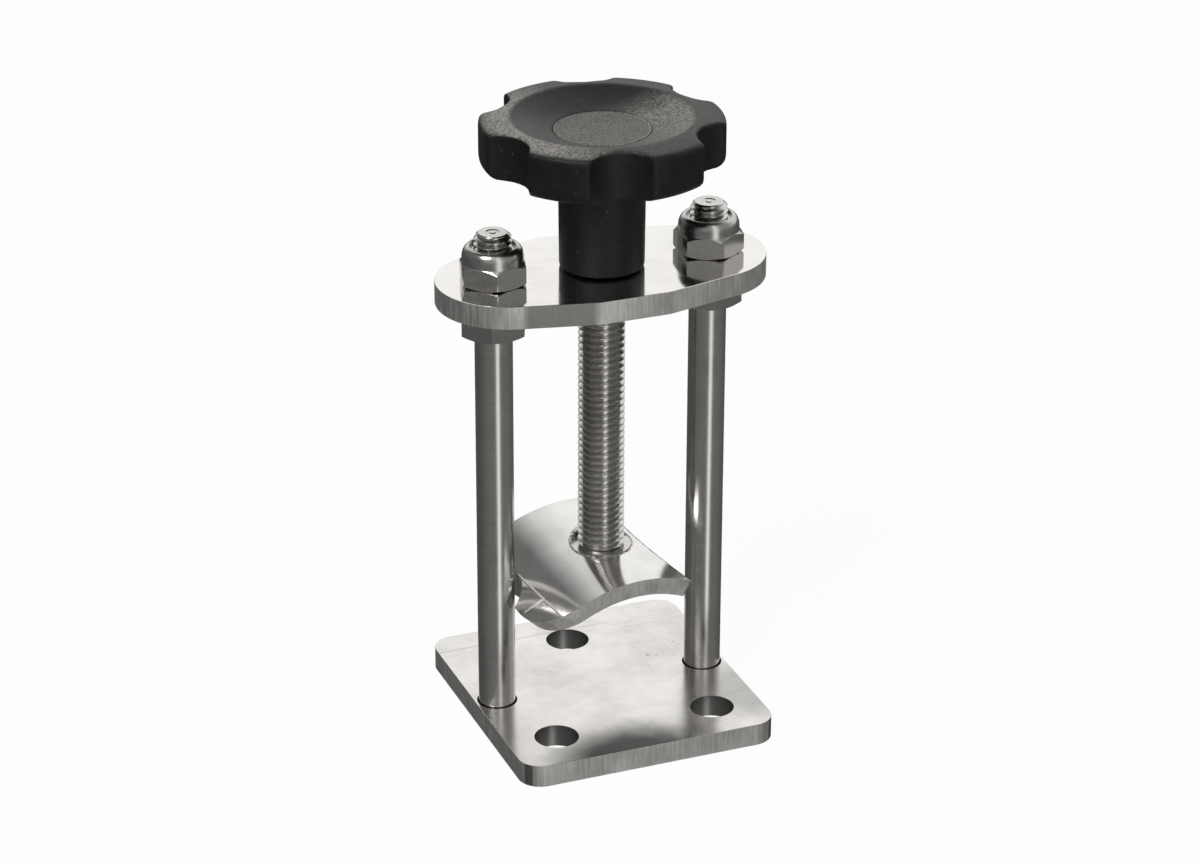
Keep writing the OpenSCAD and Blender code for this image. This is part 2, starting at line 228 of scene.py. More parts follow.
# %% Camera
LENS, SENSOR, CAMERA_AT = 111.18, 36, (-0.2655, -0.6638, 0.3977)
YAW, PITCH, ROLL = math.radians(21.779), math.radians(24.960), math.radians(0.185)
ahead = Vector((math.sin(YAW) * math.cos(PITCH), math.cos(YAW) * math.cos(PITCH), -math.sin(PITCH)))
right = Vector((math.cos(YAW), -math.sin(YAW), 0))
up = right.cross(ahead)
level_right = right * math.cos(ROLL) + up * math.sin(ROLL)
level_up = up * math.cos(ROLL) - right * math.sin(ROLL)
camera_data = bpy.data.cameras.new("camera")
camera_data.lens = LENS
camera_data.sensor_width = SENSOR
camera_data.clip_start = 0.01
camera = bpy.data.objects.new("camera", camera_data)
bpy.context.scene.collection.objects.link(camera)
turn = Matrix((level_right, level_up, -ahead)).transposed()
camera.matrix_world = Matrix.Translation(CAMERA_AT) @ turn.to_4x4()
bpy.context.scene.camera = camera
bpy.context.scene.view_settings.view_transform = "Standard"

# %% [markdown]
# ## Writing shaders as sums
# A finish is a sum of masks and noises. One small class wraps a node's output, so that such a sum can be
# written as plain arithmetic, and each operation adds its own Math node.

# %% The shader class
class Wire:
    """An output of a shader node that can be added, multiplied and compared like a number."""

    def __init__(self, tree, socket):
        self.tree, self.socket = tree, socket

    def node(self, kind, settings=None, **inputs):
        """Adds a node, sets it up and links or sets its inputs. Returns its first output."""
        made = self.tree.nodes.new(kind)
        for key, value in (settings or {}).items():
            setattr(made, key, value)
        for key, value in inputs.items():
            self.feed(made, key, value)
        out = next(o for o in made.outputs if o.enabled)
        return Wire(self.tree, out)

    def feed(self, made, key, value):
        """Sets or links one input, which key names or, as in i2, numbers."""
        index = int(key[1:]) if key[0] == "i" and key[1:].isdigit() else None
        target = made.inputs[index] if index is not None else made.inputs[key.replace("_", " ")]
        if isinstance(value, Wire):
            self.tree.links.new(value.socket, target)
        else:
            target.default_value = value

    def math(self, operation, *values):
        given = {f"i{n}": v for n, v in enumerate(values)}
        return self.node("ShaderNodeMath", {"operation": operation}, **given)

    def __add__(self, other):
        return self.math("ADD", self, other)

    __radd__ = __add__

    def __mul__(self, other):
        return self.math("MULTIPLY", self, other)

    __rmul__ = __mul__

    def __sub__(self, other):
        return self.math("SUBTRACT", self, other)

    def __rsub__(self, other):
        return self.math("SUBTRACT", other, self)

    def __pow__(self, other):
        return self.math("POWER", self, other)

    def __truediv__(self, other):
        return self.math("DIVIDE", self, other)

    def clamp(self):
        return self.node("ShaderNodeClamp", i0=self)

    def between(self, low, high, to_low=0.0, to_high=1.0):
        """Maps low..high to to_low..to_high and holds the ends."""
        ends = {"i1": low, "i2": high, "i3": to_low, "i4": to_high}
        return self.node("ShaderNodeMapRange", {"clamp": True}, i0=self, **ends)

    def band(self, low, high, soft):
        """1 between low and high, with soft edges."""
        return self.between(low - soft, low) * self.between(high, high + soft, 1.0, 0.0)


class Finish:
    """A material with its Principled shader and the piece's own coordinates, ready to be painted."""

    def __init__(self, name, **constants):
        self.material = bpy.data.materials.new(name)
        self.material.use_nodes = True
        self.tree = self.material.node_tree
        self.tree.nodes.clear()
        self.shader = self.tree.nodes.new("ShaderNodeBsdfPrincipled")
        output = self.tree.nodes.new("ShaderNodeOutputMaterial")
        self.tree.links.new(self.shader.outputs[0], output.inputs[0])
        coordinates = self.tree.nodes.new("ShaderNodeTexCoord")
        self.place = Wire(self.tree, coordinates.outputs["Object"])
        for key, value in constants.items():
            self.shader.inputs[key.replace("_", " ")].default_value = value

    def moved(self, scale=(1, 1, 1), turn=(0, 0, 0), to=(0, 0, 0)):
        return self.place.node(
            "ShaderNodeMapping", Vector=self.place, Scale=scale, Rotation=turn, Location=to
        )

    def noise(self, size, stretch=(1, 1, 1), detail=3.0, rough=0.5, turn=(0, 0, 0), to=(0, 0, 0)):
        """Noise whose grains are about size metres wide, drawn out by stretch."""
        scale = tuple(1 / (size * s) for s in stretch)
        where = self.moved(scale=scale, turn=turn, to=to)
        return self.place.node("ShaderNodeTexNoise", Vector=where, Scale=1.0, Detail=detail, Roughness=rough)

    def axes(self):
        """X, Y and Z in metres."""
        split = self.tree.nodes.new("ShaderNodeSeparateXYZ")
        self.tree.links.new(self.place.socket, split.inputs[0])
        return [Wire(self.tree, o) for o in split.outputs]

    def mix(self, amount, first, second):
        """Mixes two colours: the first at amount 0, the second at amount 1."""
        made = self.tree.nodes.new("ShaderNodeMix")
        made.data_type = "RGBA"
        for index, value in ((0, amount), (6, first), (7, second)):
            if isinstance(value, Wire):
                self.tree.links.new(value.socket, made.inputs[index])
            else:
                made.inputs[index].default_value = (*value, 1) if index else value
        return Wire(self.tree, made.outputs[2])

    def set(self, **inputs):
        """Links each value to the shader's input of that name."""
        for key, value in inputs.items():
            self.tree.links.new(value.socket, self.shader.inputs[key.replace("_", " ")])
        return self

    def bump(self, height, distance, strength=1.0):
        """Feeds a height in 0..1 as bump of that depth in metres."""
        made = self.tree.nodes.new("ShaderNodeBump")
        made.inputs["Distance"].default_value = distance
        made.inputs["Strength"].default_value = strength
        self.tree.links.new(height.socket, made.inputs["Height"])
        self.tree.links.new(made.outputs[0], self.shader.inputs["Normal"])
        return self


def dress(piece, finish):
    """Gives the piece this one finish."""
    piece.data.materials.clear()
    piece.data.materials.append(finish.material)
    return piece

# %% [markdown]
# ## Finishes of the metals
# All metal here is stainless steel, but for a brass insert in the knob. The top plate and the saddle are
# polished, the posts are drawn bar with fine lines round them, and the cut edges of the plates keep the
# upright lines of the saw or laser.

# %% Steel finishes
def steel(name, tint, gloss, lines, clouds=0.006, depth=0.0, spread=0.10):
    """Steel: lines is its grain, as (size, stretch), and depth the height of that grain in metres."""
    finish = Finish(name, Metallic=1.0)
    grain = finish.noise(lines[0], lines[1], detail=2.0)
    cloud = finish.noise(clouds, detail=4.0, to=(3, 1, 2))
    shade = cloud.between(0.3, 0.7) * 0.6 + grain.between(0.3, 0.7) * 0.4
    finish.set(Base_Color=finish.mix(shade, tuple(c * 0.84 for c in tint), tint))
    finish.set(Roughness=((cloud + grain) * spread + (gloss - spread)).clamp())
    if depth:
        finish.bump(grain, depth)
    return finish


ROUND_LINES = (0.00025, (200, 200, 1))
FINE_SPECKS = (0.0006, (1, 1, 1))
DRAWN = steel("drawn steel", (0.62, 0.61, 0.585), 0.24, ROUND_LINES, depth=0.000004)
TURNED = steel("turned steel", (0.62, 0.61, 0.59), 0.22, ROUND_LINES, depth=0.000002)
BRIGHT = steel("bright steel", (0.54, 0.53, 0.51), 0.24, FINE_SPECKS)
BORED = steel("drilled wall", (0.30, 0.295, 0.285), 0.38, ROUND_LINES, depth=0.00001)
DARK = steel("dark oiled steel", (0.16, 0.155, 0.15), 0.38, FINE_SPECKS)
WELD = steel("weld metal", (0.40, 0.38, 0.36), 0.42, FINE_SPECKS, depth=0.00003)

# %% Sawn edges
def sawn(name, across, along, tint, dull=None):
    """The cut edge of a plate: coarse lines through the thickness, with brighter and darker runs. The part
    between the two X in dull is darker."""
    finish = Finish(name, Metallic=1.0)
    lines = finish.noise(across, along, detail=4.0, rough=0.6)
    runs = finish.noise(0.007, detail=3.0, to=(7, 2, 5))
    shade = lines.between(0.30, 0.70) * 0.65 + runs.between(0.35, 0.65) * 0.35
    colour = finish.mix(shade, tuple(c * 0.62 for c in tint), tuple(c * 1.15 for c in tint))
    if dull:
        darker = finish.axes()[0].band(*dull, 1.5 * MM)
        colour = finish.mix(darker * 0.75, colour, tuple(c * 0.30 for c in tint))
    finish.set(Base_Color=colour, Roughness=(0.42 + lines * 0.25).clamp())
    return finish.bump(lines, 0.00006)


SAW_LINE = 0.00045
EDGE = sawn("sawn plate edge", SAW_LINE, (1, 1, 14), (0.64, 0.63, 0.61))
TOP_EDGE = sawn("sawn top edge", SAW_LINE, (1, 1, 14), (0.70, 0.69, 0.665), (-22 * MM, -9 * MM))
SADDLE_EDGE = sawn("sawn saddle edge", SAW_LINE, (1, 1, 9), (0.78, 0.77, 0.745))

# %% Plastics and brass
RIM_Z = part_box("knob_body")[1].z


def black_plastic():
    """Nearly black plastic with a fine grain. The tops carry a painted sheen, grey and broken by the grain:
    the cap, the front of the dish, most of all on its right, and the lobes, most of all the left ones."""
    finish = Finish("black plastic", IOR=1.5, Specular_IOR_Level=0.35)
    grain = finish.noise(0.00055, detail=3.0, rough=0.75)
    wear = finish.noise(0.004, detail=6.0, rough=0.7)
    dust = finish.noise(0.0009, detail=2.0, to=(4, 4, 4)).between(0.69, 0.76)
    x, y, z = finish.axes()
    radius = (x * x + y * y) ** 0.5
    top = z.between(RIM_Z - 3.5 * MM, RIM_Z - 3.2 * MM)
    cap = top * radius.between(10.1 * MM, 10.3 * MM, 1.0, 0.0)
    dish = top * radius.band(10.3 * MM, 18.6 * MM, 0.8 * MM)
    dish = dish * x.between(-4 * MM, 13 * MM, 0.25, 1.2) * y.between(3 * MM, 12 * MM, 1.0, 0.0)
    lobes = z.between(RIM_Z - 0.9 * MM, RIM_Z - 0.4 * MM) * radius.between(18.6 * MM, 19.6 * MM)
    lobes = lobes * x.between(-16 * MM, -4 * MM, 1.6, 0.25)
    # Painted sheen: the cap, the dish and the lobe tops are lightened towards grey, broken by the grain
    painted_sheen = (cap * 0.8 + dish + lobes) * (grain.between(0.38, 0.62) * 1.1 + wear.between(0.35, 0.65) * 0.3)
    shade = finish.mix(wear.between(0.40, 0.70), (0.0035, 0.0035, 0.003), (0.007, 0.007, 0.006))
    shade = finish.mix((painted_sheen * 0.6).clamp(), shade, (0.28, 0.27, 0.25))
    finish.set(Base_Color=finish.mix(dust * 0.5, shade, (0.10, 0.10, 0.09)))
    finish.set(Roughness=(0.34 + wear * 0.14 + grain * 0.12).clamp())
    return finish.bump(grain + wear * 0.5, 0.00012)


BLACK = black_plastic()
NYLON = Finish("nylon", Roughness=0.5)
NYLON.set(Base_Color=NYLON.mix(NYLON.noise(0.001).between(0.3, 0.7), (0.16, 0.18, 0.21), (0.25, 0.27, 0.30)))
BRASS = Finish("brass", Metallic=1.0, Roughness=0.3)
BRASS.set(Base_Color=BRASS.mix(BRASS.noise(0.002).between(0.3, 0.7), (0.55, 0.40, 0.17), (0.68, 0.53, 0.27)))

# %% [markdown]
# ## Faces of the plates and the saddle
# The base plate is ground and scuffed round the posts, its front is darkened by a painted dark
# reflection and its right side by a softer dark bloom. The top plate is polished. Noise that
# is drawn out far along one axis and then narrowed to its highest ridges gives single scratches.

# %% Worn faces
SCRIBED = [
    [(-18.6 * MM, 0.8 * MM), (-15.6 * MM, -17.4 * MM)],
    [(-20.6 * MM, -8.4 * MM), (-17.0 * MM, -9.4 * MM)],
]


def scratches(finish, length, width, turn, amount, to=(0, 0, 0)):
    """Single fine scratches at one angle, as a mask."""
    ridge = finish.noise(width, (length / width, 1, 40), detail=1.0, turn=(0, 0, math.radians(turn)), to=to)
    where = finish.noise(0.012, detail=2.0, to=(5 + turn, 0, 0))
    return ridge.between(0.655, 0.70) * where.between(0.50, 0.62) * amount


def spot(finish, at, radius, soft):
    """1 round a place on the plate, with a ragged edge."""
    x, y, _ = finish.axes()
    ragged = finish.noise(0.004, detail=5.0, rough=0.7)
    away = ((x - at[0]) * (x - at[0]) + (y - at[1]) * (y - at[1])) ** 0.5
    return (away + (ragged - 0.5) * soft * 2).between(radius - soft, radius + soft, 1.0, 0.0)


def dark_bloom(finish, at, wide, deep):
    """A soft dark bloom on the plate: 1 at its middle, 0 at its rim."""
    x, y, _ = finish.axes()
    u, v = (x - at[0]) * (1 / wide), (y - at[1]) * (1 / deep)
    away = (u * u + v * v) ** 0.5 + (finish.noise(0.006, detail=4.0, to=(1, 5, 2)) - 0.5) * 0.25
    return away.node("ShaderNodeMapRange", {"clamp": True, "interpolation_type": "SMOOTHSTEP"},
                     i0=away, i1=0.35, i2=1.0, i3=1.0, i4=0.0)


def ground_face():
    """The base plate: clouded, scuffed near the posts and scribed along its back. Its front edge is
    darkened by a painted dark reflection, and its right side by a softer dark bloom."""
    finish = Finish("ground face", Metallic=1.0)
    cloud = finish.noise(0.009, detail=6.0, rough=0.6)
    grain = finish.noise(0.0003, (60, 1, 40), detail=2.0)
    fleck = finish.noise(0.0009, detail=4.0, rough=0.7, to=(2, 4, 6)).between(0.60, 0.72)
    scuffs = (
        spot(finish, (-12 * MM, 7 * MM), 5 * MM, 4 * MM)
        + spot(finish, (19 * MM, 5 * MM), 7 * MM, 5 * MM)
        + spot(finish, (27 * MM, -4 * MM), 4 * MM, 4 * MM) * 0.7
    )
    x, y, _ = finish.axes()
    scribed = y.band(24.3 * MM, 24.4 * MM, 0.12 * MM) * x.between(10 * MM, 14 * MM, 1.0, 0.0)
    marks = scratches(finish, 0.02, 0.00018, 20, 1.0) + scratches(finish, 0.03, 0.0002, -35, 0.8, (1, 1, 0))
    marked = (scuffs * (fleck * 0.8 + 0.12) + fleck * 0.10 + marks * 0.3 + scribed * 0.5).clamp()
    base = finish.mix(cloud.between(0.35, 0.65), (0.62, 0.605, 0.585), (0.76, 0.745, 0.725))
    # Painted dark reflection of the parts above: the front middle of the plate is darkened nearly to black
    base = finish.mix(dark_bloom(finish, (-5 * MM, -34 * MM), 24 * MM, 18 * MM) * 0.97, base, (0.03, 0.029, 0.027))
    # A softer dark bloom at the plate's right side, darkest at its middle
    base = finish.mix(dark_bloom(finish, (30 * MM, -16 * MM), 16 * MM, 18 * MM) * 0.5, base, (0.20, 0.195, 0.19))
    finish.set(Base_Color=finish.mix(marked, base, (0.20, 0.19, 0.18)))
    finish.set(Roughness=(0.12 + cloud * 0.12 + grain * 0.06 + marked * 0.2).clamp())
    return finish.bump(grain + cloud * 2, 0.000006)


def polished_face():
    """The top plate: nearly a mirror, with a few hair-fine scratches at two angles."""
    finish = Finish("polished face", Metallic=1.0)
    cloud = finish.noise(0.010, detail=5.0)
    marks = scratches(finish, 0.02, 0.00015, 10, 1.0) + scratches(finish, 0.015, 0.00015, 60, 0.7, (2, 0, 0))
    base = finish.mix(cloud.between(0.35, 0.65), (0.73, 0.715, 0.70), (0.79, 0.775, 0.76))
    finish.set(Base_Color=finish.mix(marks.clamp() * 0.5, base, (0.40, 0.39, 0.38)))
    finish.set(Roughness=(0.05 + cloud * 0.08 + marks * 0.2).clamp())
    return finish


def line(finish, start, end, width):
    """A straight scribed line on the saddle, given by two points as seen from above."""
    x, y, _ = finish.axes()
    length = math.dist(start, end)
    ux, uy = (end[0] - start[0]) / length, (end[1] - start[1]) / length
    along = (x - start[0]) * ux + (y - start[1]) * uy
    off = (y - start[1]) * ux - (x - start[0]) * uy
    return along.band(0, length, 0.5 * MM) * off.band(-width / 2, width / 2, width / 2)


def satin_face():
    """The saddle's polish is softer than the plate's. Round its hole is a ring with the bump of a raised
    drill edge, painted as a bright highlight with dark chips, and two lines are scribed near its left front
    corner."""
    finish = Finish("satin face", Metallic=1.0)
    x, y, _ = finish.axes()
    cloud = finish.noise(0.008, detail=4.0)
    grain = finish.noise(0.0003, (1, 50, 1), detail=2.0)
    chips = finish.noise(0.0007, detail=3.0, rough=0.7)
    radius = (x * x + y * y) ** 0.5
    # A raised drill edge round the hole, with a painted highlight: its ring is painted bright with dark chips
    burr_and_highlight = radius.band(5.9 * MM, 6.7 * MM, 0.35 * MM)
    lines = line(finish, *SCRIBED[0], 0.2 * MM) + line(finish, *SCRIBED[1], 0.35 * MM)
    base = finish.mix(cloud.between(0.35, 0.65), (0.68, 0.67, 0.655), (0.78, 0.77, 0.755))
    # Colour of the ring round the hole: a painted highlight with dark chips
    marked = finish.mix(chips.between(0.42, 0.58), (0.12, 0.115, 0.11), (0.9, 0.89, 0.87))
    base = finish.mix(burr_and_highlight, base, marked)
    finish.set(Base_Color=finish.mix(lines.clamp() * 0.85, base, (0.95, 0.94, 0.92)))
    finish.set(Roughness=(0.06 + cloud * 0.10 + grain * 0.05 + burr_and_highlight * 0.15 + lines * 0.3).clamp())
    return finish.bump(grain * 0.05 + burr_and_highlight * chips * 4 + lines * 2, 0.00006)


GROUND, POLISHED, SATIN = ground_face(), polished_face(), satin_face()


def edges_sawn(piece, face, edge):
    """Gives the upright faces of a plate the sawn finish, and all others the face's finish."""
    dress(piece, face)
    piece.data.materials.append(edge.material)
    edit(piece)
    pick(piece, "faces", lambda f: abs(f.normal.z) < 0.6)
    piece.active_material_index = 1
    bpy.ops.object.material_slot_assign()
    done()

# %% [markdown]
# ## The base plate
# A ground plate with round corners, three drilled holes and two holes for the posts. It starts as a block,
# whose four upright edges are bevelled round, and each hole is drilled with a rod as the tool.

# %% Base plate
BASE = {"w": 58 * MM, "d": 62 * MM, "t": 5 * MM, "corner": 5 * MM}
POST_X, POST_R, POST_HOLE_R = 24.15 * MM, 4 * MM, 4.35 * MM
HOLE_R = 4.75 * MM
HOLES = [(-18 * MM, -20 * MM), (18 * MM, -20 * MM), (0, 20 * MM)]


def drill(piece, x, y, radius, low, high, vertices=96):
    """Drills an upright hole at x, y from the height low to the height high."""
    tool = place(rod(radius, low, high, vertices), "drill", (x, y, 0))
    return cut(piece, tool)


base = block("base_plate_dressed", (BASE["w"], BASE["d"], BASE["t"]), (0, 0, BASE["t"] / 2))
edit(base, "EDGE")
pick(base, "edges", lambda e: abs(e.verts[0].co.z - e.verts[1].co.z) > BASE["t"] / 2)
bpy.ops.mesh.bevel(offset=BASE["corner"], offset_type="OFFSET", segments=16, affect="EDGES")
done()
for x, y in HOLES:
    drill(base, x, y, HOLE_R, -MM, BASE["t"] + MM)
for side in (-1, 1):
    drill(base, side * POST_X, 0, POST_HOLE_R, -MM, BASE["t"] + MM)
break_edges(base, 0.18 * MM)
settle(base)
edges_sawn(base, GROUND, EDGE)
base.data.materials.append(BORED.material)
edit(base)


def in_a_hole(face):
    """True for the upright faces that aren't on the plate's rim."""
    middle = face.calc_center_median()
    away_from_rim = abs(middle.x) < BASE["w"] / 2 - 0.5 * MM and abs(middle.y) < BASE["d"] / 2 - MM
    return abs(face.normal.z) < 0.6 and away_from_rim


walls = pick(base, "faces", in_a_hole)
base.active_material_index = 2
bpy.ops.object.material_slot_assign()
done()
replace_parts(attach(base, "frame"), "base_plate")
print("base plate:", measured(base), "of them", walls, "in the holes")

# %% [markdown]
# ## Threads
# A thread is one small zigzag, repeated up the rod while it turns. The Screw modifier does exactly that.
# It makes two turns more than needed at each end. The two ragged ends are then sawn off flat, and the end of
# a stud is chamfered on the lathe.

# %% Thread helper
def threaded_bar(radius, pitch, low, high, steps=48):
    """A threaded rod of that outer radius from low to high, closed at both ends."""
    depth, spare = 0.613 * pitch, 2
    crest, root = pitch / 8, pitch / 5
    flank = (pitch - crest - root) / 2
    outline = [(radius - depth, 0)]
    outline.append((radius - depth, root / 2))
    outline.append((radius - 0.10 * depth, root / 2 + flank * 0.9))
    outline.append((radius, root / 2 + flank + crest * 0.15))
    outline.append((radius, root / 2 + flank + crest * 0.85))
    outline.append((radius - 0.10 * depth, root / 2 + flank + crest + flank * 0.1))
    outline.append((radius - depth, root / 2 + 2 * flank + crest))
    outline.append((radius - depth, pitch))
    piece = drawn_line(outline, low - spare * pitch)
    done()
    modify(piece, "SCREW", axis="Z", angle=2 * math.pi, screw_offset=pitch,
           iterations=math.ceil((high - low) / pitch) + 2 * spare, steps=steps, render_steps=steps,
           use_merge_vertices=True, merge_threshold=JOINS)
    edit(piece, "VERT")
    bpy.ops.mesh.select_all(action="SELECT")
    bpy.ops.mesh.remove_doubles(threshold=JOINS)
    for height, outer in ((low, False), (high, True)):
        bpy.ops.mesh.select_all(action="SELECT")
        bpy.ops.mesh.bisect(
            plane_co=(0, 0, height), plane_no=(0, 0, 1), threshold=ON_PLANE,
            use_fill=True, clear_inner=not outer, clear_outer=outer
        )
    bpy.ops.mesh.select_all(action="SELECT")
    bpy.ops.mesh.normals_make_consistent(inside=False)
    done()
    return piece

# %% [markdown]
# ## The posts
# Two drawn bars of 8 mm. Their upper ends carry a thread for the nuts, and the end of each is chamfered.

# %% Posts
POST_TOP = 114.3 * MM
THREAD_LOW = 93 * MM
M8_PITCH = 1.25 * MM
STUD_CHAMFER = 1.0 * MM


def post():
    """A post at the origin: its threaded end, chamfered and centre-drilled, joined to its plain shank."""
    thread = threaded_bar(POST_R, M8_PITCH, THREAD_LOW, POST_TOP + 0.4 * MM)
    chamfer = lathe([
        (0, THREAD_LOW - MM), (POST_R + MM, THREAD_LOW - MM),
        (POST_R + MM, POST_TOP - STUD_CHAMFER - MM),
        (POST_R - STUD_CHAMFER, POST_TOP), (1.5 * MM, POST_TOP), (1.3 * MM, POST_TOP - 0.15 * MM),
        (0.8 * MM, POST_TOP - 0.15 * MM), (0.6 * MM, POST_TOP), (0, POST_TOP),
    ], 98, 0.7)
    cut(thread, chamfer, "INTERSECT")
    shank = lathe([(0, 0), (POST_R, 0), (POST_R, THREAD_LOW - 0.3 * MM),
                   (POST_R - 0.77 * MM, THREAD_LOW + 0.47 * MM), (0, THREAD_LOW + 0.47 * MM)], 126, 1.3)
    cut(thread, shank, "UNION")
    return settle(thread, 35)


first_post = post()
for side, name in ((-1, "left"), (1, "right")):
    bar = copy_of(first_post, f"post_{name}_dressed", (side * POST_X, 0, 0))
    dress(bar, DRAWN)
    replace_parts(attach(bar, "frame"), f"post_{name}")
bpy.data.objects.remove(first_post)
print("each post:", measured(bar))

# %% [markdown]
# ## Nuts
# A plain hexagon nut sits under the top plate on each post. On top sits a lock nut: a lower hexagon with a
# round collar, whose lip is rolled in over a ring of nylon.

# %% Hexagon blank
# AF is the width across the flats
AF = 13 * MM
NUT_CORNER = AF / math.sqrt(3)


def hexagon(height, low_chamfer=0.55 * MM, high_chamfer=0.55 * MM):
    """A hexagon bar, cut to length and chamfered at both ends. The cutter's cones reach past both ends."""
    bpy.ops.mesh.primitive_cylinder_add(
        vertices=6, radius=NUT_CORNER, depth=height, location=(0, 0, height / 2)
    )
    bpy.context.object.rotation_euler = (0, 0, math.pi / 6)
    blank = place(bpy.context.object, "hexagon")
    face, past = AF / 2 * 0.97, 0.3
    wide = NUT_CORNER + 0.3 * MM
    slope = NUT_CORNER - face
    low, high = low_chamfer / slope, high_chamfer / slope
    tool = lathe([
        (0, -past * low_chamfer), (face - past * slope, -past * low_chamfer), (wide, (wide - face) * low),
        (wide, height - (wide - face) * high), (face - past * slope, height + past * high_chamfer),
        (0, height + past * high_chamfer),
    ], 127, 1.7)
    return cut(blank, tool, "INTERSECT")

# %% Plain nuts and lock nuts
TOP_Z, TOP_T = 98.4 * MM, 5 * MM
NUT_H, LOCK_HEX_H, LOCK_H = 6.5 * MM, 4.8 * MM, 8.0 * MM
LIP_R, NUT_BORE_R = 4.7 * MM, POST_R + 0.02 * MM


def plain_nut():
    """A chamfered hexagon with a bore."""
    nut = hexagon(NUT_H)
    cut(nut, rod(NUT_BORE_R, -MM, NUT_H + MM))
    break_edges(nut, 0.12 * MM)
    return settle(nut)


def lock_nut():
    """The hexagon runs into a round collar as wide as its flats, whose lip is rolled inwards."""
    nut = hexagon(LOCK_HEX_H, 0.6 * MM, 1.0 * MM)
    r, lip, h = AF / 2 - 0.02 * MM, LIP_R, LOCK_H
    collar = lathe([
        (0, 1 * MM), (r, 1 * MM), (r, h - 2.4 * MM), (r - 0.08 * MM, h - 1.7 * MM),
        (r - 0.26 * MM, h - 1.1 * MM), (r - 0.55 * MM, h - 0.55 * MM), (r - 0.95 * MM, h - 0.15 * MM),
        (r - 1.35 * MM, h),
        (lip + 0.15 * MM, h - 0.12 * MM), (lip, h - 0.4 * MM), (lip, h - 0.8 * MM), (0, h - 0.8 * MM),
    ], 126, 0.6)
    cut(nut, collar, "UNION")
    cut(nut, rod(NUT_BORE_R, -MM, LOCK_H + MM))
    break_edges(nut, 0.12 * MM, 35)
    return settle(nut, 35)


plain, lock = plain_nut(), lock_nut()
print("plain nut:", measured(plain), "| lock nut:", measured(lock))
for side, name, plain_turn, lock_turn in ((-1, "left", 8.5, 16.5), (1, "right", 20, 30)):
    x = side * POST_X
    nut = copy_of(plain, f"plain_nut_{name}_dressed", (x, 0, TOP_Z - NUT_H), math.radians(plain_turn))
    dress(nut, BRIGHT)
    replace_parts(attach(nut, "frame"), f"plain_nut_{name}")
    nut = copy_of(lock, f"lock_nut_{name}_dressed", (x, 0, TOP_Z + TOP_T), math.radians(lock_turn))
    dress(nut, BRIGHT)
    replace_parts(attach(nut, "frame"), f"lock_nut_{name}")
bpy.data.objects.remove(plain)
bpy.data.objects.remove(lock)

# %% [markdown]
# ## The top plate
# A lozenge with two round ends. It is the skin round two round bars and a block between them, and Blender's
# convex hull makes just that.

# %% Top plate
END_R, END_X, FLAT_X, FLAT_Y = 15.3 * MM, 20.8 * MM, 7.6 * MM, 18.8 * MM
SPINDLE_HOLE_R = 5.05 * MM
plate = block("top_plate_dressed", (2 * FLAT_X, 2 * FLAT_Y, TOP_T), (0, 0, TOP_Z + TOP_T / 2))
ends = [place(rod(END_R, TOP_Z, TOP_Z + TOP_T, 128), "end", (side * END_X, 0, 0)) for side in (-1, 1)]
only(plate)
for end in ends:
    end.select_set(True)
bpy.ops.object.join()
edit(plate, "VERT")
bpy.ops.mesh.select_all(action="SELECT")
bpy.ops.mesh.convex_hull()
bpy.ops.mesh.select_all(action="SELECT")
bpy.ops.mesh.dissolve_limited(angle_limit=math.radians(0.5))
done()
for side in (-1, 1):
    drill(plate, side * POST_X, 0, POST_HOLE_R, TOP_Z - MM, TOP_Z + TOP_T + MM)
drill(plate, 0, 0, SPINDLE_HOLE_R, TOP_Z - MM, TOP_Z + TOP_T + MM)
break_edges(plate, 0.2 * MM)
settle(plate)
edges_sawn(plate, POLISHED, TOP_EDGE)
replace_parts(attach(plate, "frame"), "top_plate")
print("top plate:", measured(plate))

# %% [markdown]
# ## The spindle
# A 10 mm threaded rod. Its lower end is turned down to a journal with a groove for a spring ring. The saddle
# tilts about a point inside the ball-shaped bush on that journal, the pivot.

# %% Spindle
PIVOT_Z = 37.4 * MM
SPINDLE_R, M10_PITCH, JOURNAL_R, GROOVE_R = 5 * MM, 1.5 * MM, 4 * MM, 3.5 * MM
SHOULDER_Z = PIVOT_Z + 1.25 * MM
SPINDLE_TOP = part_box("screw")[1].z
SPINDLE_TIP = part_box("screw")[0].z
GROOVE_TOP = PIVOT_Z - 3.6 * MM
GROOVE_LOW = GROOVE_TOP - 0.9 * MM
spindle = threaded_bar(SPINDLE_R, M10_PITCH, SHOULDER_Z, SPINDLE_TOP + 0.4 * MM, 64)
chamfers = lathe([
    (0, SHOULDER_Z - MM), (4.4 * MM, SHOULDER_Z), (6 * MM, SHOULDER_Z + 1.6 * MM),
    (6 * MM, SPINDLE_TOP - 1.8 * MM), (4.2 * MM, SPINDLE_TOP), (0, SPINDLE_TOP),
], 98, 0.7)
cut(spindle, chamfers, "INTERSECT")
journal = lathe([
    (0, SPINDLE_TIP), (3.4 * MM, SPINDLE_TIP), (JOURNAL_R, SPINDLE_TIP + 0.6 * MM), (JOURNAL_R, GROOVE_LOW),
    (GROOVE_R, GROOVE_LOW), (GROOVE_R, GROOVE_TOP), (JOURNAL_R, GROOVE_TOP), (JOURNAL_R, SHOULDER_Z + MM),
    (0, SHOULDER_Z + MM),
], 98, 1.3)
cut(spindle, journal, "UNION")
settle(spindle, 35)
place(spindle, "spindle_dressed")
dress(spindle, TURNED)
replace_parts(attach(spindle, "spindle"), "screw")
print("spindle:", measured(spindle))

